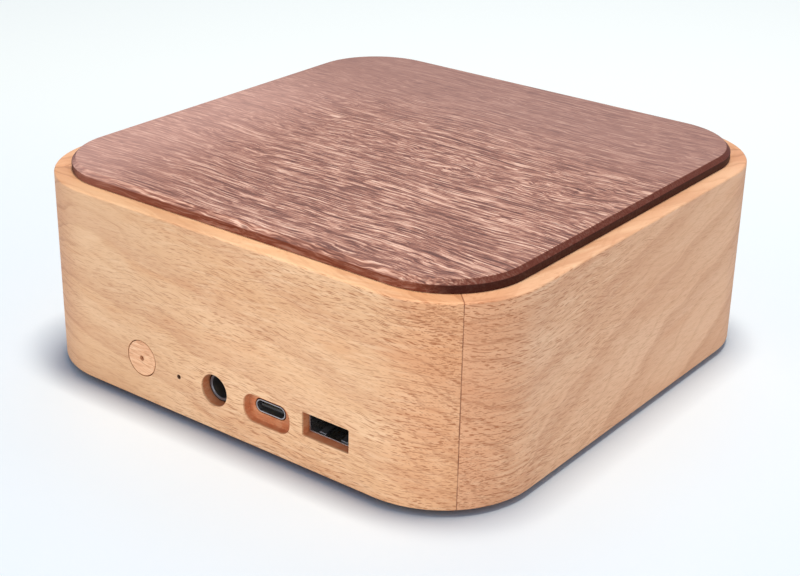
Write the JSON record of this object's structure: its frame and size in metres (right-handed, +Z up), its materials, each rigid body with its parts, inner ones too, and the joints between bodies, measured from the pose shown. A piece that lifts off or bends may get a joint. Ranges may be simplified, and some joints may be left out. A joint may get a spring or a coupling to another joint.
{
  "type": "carbon dioxide monitor",
  "caption": "Low square carbon dioxide monitor: round-cornered pale wood frame, dark wood top plate, push button and sockets on one side, display behind the far side.",
  "frame": {"origin": "centre of the footprint on the table plane, under the rubber feet", "axes": "+Z up; -Y towards the side with the button and sockets, +Y towards the display side; +X to the right seen from the socket side"},
  "size_m": [0.14, 0.14, 0.0546],
  "materials": {
    "beech": "oiled, fine sanded",
    "dark_hardwood": "oiled, fine sanded",
    "pale_wood": "fine sanded end disc",
    "black_plastic": "moulded, matt",
    "rubber": "matt",
    "zinc_steel": "zinc plated",
    "steel_shell": "stamped, satin",
    "contact_brass": "bright",
    "circuit_board": "solder mask",
    "clear_plastic": "translucent",
    "white_plastic": "moulded, matt",
    "gold_plating": "satin",
    "aluminium_can": "satin",
    "ribbon_film": "smooth film",
    "cable_sheath": "matt"
  },
  "bodies": {
    "case": {"base_plate": "black_plastic", "base_screw_1": "zinc_steel", "base_screw_2": "zinc_steel", "base_screw_3": "zinc_steel", "base_screw_4": "zinc_steel", "board_screw_1": "zinc_steel", "board_screw_2": "zinc_steel", "board_screw_3": "zinc_steel", "board_screw_4": "zinc_steel", "button_light": "clear_plastic", "button_switch_body": "black_plastic", "buzzer": "black_plastic", "capacitor_1": "aluminium_can", "capacitor_2": "aluminium_can", "co2_sensor_board": "circuit_board", "co2_sensor_chamber": "gold_plating", "co2_sensor_filter": "white_plastic", "display_board": "circuit_board", "display_light_guide": "white_plastic", "display_ribbon": "ribbon_film", "display_screw_1": "zinc_steel", "display_screw_2": "zinc_steel", "foot_1": "rubber", "foot_2": "rubber", "foot_3": "rubber", "foot_4": "rubber", "frame_board_display_side": "beech", "frame_board_left": "beech", "frame_board_port_side": "beech", "frame_board_right": "beech", "large_socket_shell": "steel_shell", "large_socket_tongue": "black_plastic", "main_board": "circuit_board", "power_inductor": "black_plastic", "power_socket_body": "black_plastic", "power_socket_pin": "contact_brass", "processor_chip": "black_plastic", "reset_switch_body": "steel_shell", "ribbon_socket_display": "white_plastic", "ribbon_socket_main": "white_plastic", "sensor_cable": "cable_sheath", "sensor_plug": "white_plastic", "sensor_screw_1": "zinc_steel", "sensor_screw_2": "zinc_steel", "sensor_socket": "white_plastic", "small_socket_shell": "steel_shell", "small_socket_tongue": "black_plastic", "top_plate": "dark_hardwood"},
    "button": {"button_cap": "pale_wood", "button_plunger": "clear_plastic", "button_switch_actuator": "black_plastic"},
    "reset_plunger": {"reset_switch_actuator": "white_plastic"}
  },
  "joints": [
    {"name": "button_press", "type": "slide", "parent": "case", "child": "button", "axis": [0, 1, 0], "range_m": [0, 0.0004], "stiffness_N_per_m": 2500, "springref_m": -0.0002},
    {"name": "reset_press", "type": "slide", "parent": "case", "child": "reset_plunger", "axis": [0, 1, 0], "range_m": [0, 0.00025], "stiffness_N_per_m": 3000, "springref_m": -0.0002}
  ]
}
